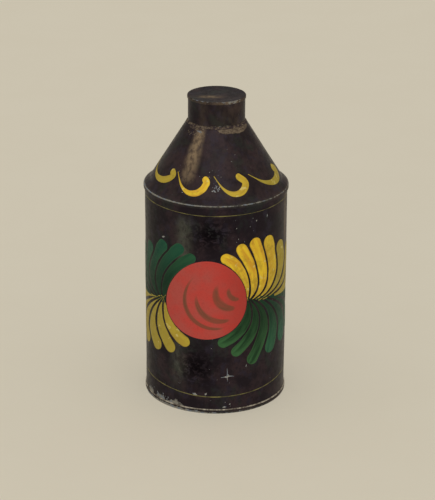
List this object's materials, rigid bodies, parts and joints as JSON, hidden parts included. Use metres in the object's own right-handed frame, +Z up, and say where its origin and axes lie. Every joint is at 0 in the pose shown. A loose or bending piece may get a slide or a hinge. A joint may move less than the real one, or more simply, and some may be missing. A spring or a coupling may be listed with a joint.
{
  "type": "talcum powder tin",
  "caption": "Japanned tinplate powder canister with a sloping shoulder, a short neck, a push-in perforated sifter and a slip-over cap.",
  "frame": {"origin": "centre of the base, on the surface the tin stands on", "axes": "+Z up along the tin's axis, -Y towards the painted front, the seams on the +Y side"},
  "size_m": [0.061, 0.061, 0.132],
  "materials": {
    "japanned_tin": "brown-black japan varnish over tinplate, satin, worn to bare metal on its edges",
    "bare_tin": "bare tinplate, dulled and lightly tarnished",
    "solder": "dull tin-lead solder, partly varnished over",
    "yellow_paint": "brushed oil paint, mustard yellow, aged",
    "green_paint": "brushed oil paint, deep leaf green, aged",
    "red_paint": "brushed oil paint, vermilion red, aged",
    "dark_red_paint": "thin transparent overstroke on the red"
  },
  "bodies": {
    "canister": {"base_disc": "japanned_tin", "base_joint_solder": "solder", "body_wall": "japanned_tin", "body_seam_solder": "solder", "shoulder_cone": "japanned_tin", "shoulder_seam_solder": "solder", "shoulder_joint_solder": "solder", "neck_collar": "bare_tin", "neck_seam_solder": "solder", "neck_joint_solder": "solder"},
    "sifter": {"sifter_plate": "bare_tin", "sifter_sleeve": "bare_tin", "sifter_seam_solder": "solder", "sifter_joint_solder": "solder"},
    "cap": {"cap_band": "japanned_tin", "cap_seam_solder": "solder", "cap_top": "japanned_tin", "cap_joint_solder": "solder"}
  },
  "joints": [
    {"name": "sifter_lift", "type": "slide", "parent": "canister", "child": "sifter", "axis": [0, 0, 1], "range_m": [0, 0.02]},
    {"name": "cap_lift", "type": "slide", "parent": "sifter", "child": "cap", "axis": [0, 0, 1], "range_m": [0, 0.03]}
  ]
}
